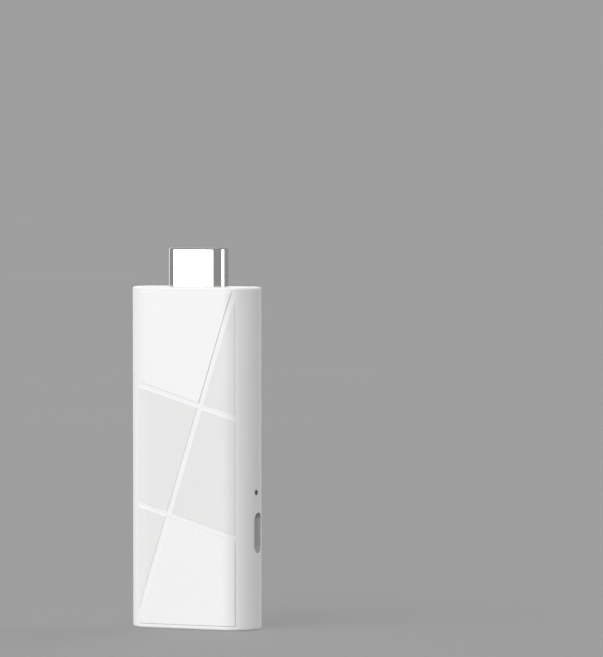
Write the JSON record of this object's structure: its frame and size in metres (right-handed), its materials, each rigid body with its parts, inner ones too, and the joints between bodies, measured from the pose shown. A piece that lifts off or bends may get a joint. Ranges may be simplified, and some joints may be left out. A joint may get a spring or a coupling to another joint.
{
  "type": "streaming media player",
  "caption": "Slim upright media stick with a faceted front, an HDMI plug on top, a USB-C power port and a reset pinhole in its side.",
  "frame": {"origin": "middle of the bounding box, on the bottom end that the stick stands on", "axes": "+Z along the stick towards its plug, -Y out of the faceted face, +X out of the side with the port and pinhole"},
  "size_m": [0.031, 0.0128, 0.0868],
  "materials": {
    "housing_white": "satin moulded",
    "facet_white": "smooth semi-gloss",
    "label_film": "satin film",
    "collar_plastic": "matte moulded",
    "plug_steel": "bright nickel plated",
    "insulator_plastic": "matte moulded",
    "contact_gold": "gold plated",
    "port_steel": "nickel plated",
    "board_laminate": "solder mask",
    "chip_black": "matte moulded",
    "shield_steel": "tin plated",
    "spreader_aluminium": "rolled",
    "thermal_pad": "soft silicone",
    "capacitor_ceramic": "matte",
    "inductor_grey": "moulded",
    "screw_steel": "black zinc",
    "switch_plastic": "moulded",
    "plunger_plastic": "moulded"
  },
  "bodies": {
    "player": {"board_screws": "screw_steel", "capacitors": "capacitor_ceramic", "clock_crystal": "shield_steel", "flash_chip": "chip_black", "front_heat_spreader": "spreader_aluminium", "front_shell": "housing_white", "hdmi_plug_contacts": "contact_gold", "hdmi_plug_insulator": "insulator_plastic", "hdmi_plug_shell": "plug_steel", "lower_facet_plate": "facet_white", "main_board": "board_laminate", "memory_chips": "chip_black", "plug_collar": "collar_plastic", "power_controller": "chip_black", "power_inductors": "inductor_grey", "processor": "chip_black", "processor_thermal_pad": "thermal_pad", "rating_label": "label_film", "rear_cover": "housing_white", "rear_heat_spreader": "spreader_aluminium", "rear_shield_can": "shield_steel", "rear_thermal_pad": "thermal_pad", "reset_switch_body": "switch_plastic", "reset_switch_dome": "port_steel", "reset_switch_frame": "shield_steel", "shield_cover": "shield_steel", "shield_fence": "shield_steel", "spreader_thermal_pad": "thermal_pad", "upper_facet_plate": "facet_white", "usb_c_contacts": "contact_gold", "usb_c_insert": "insulator_plastic", "usb_c_shell": "port_steel", "wifi_antennas": "shield_steel", "wireless_module": "board_laminate", "wireless_module_can": "shield_steel"},
    "reset_button": {"reset_plunger": "plunger_plastic"}
  },
  "joints": [
    {"name": "reset_press", "type": "slide", "parent": "player", "child": "reset_button", "axis": [-1, 0, 0], "range_m": [0, 0.00025], "stiffness_N_per_m": 3000}
  ]
}
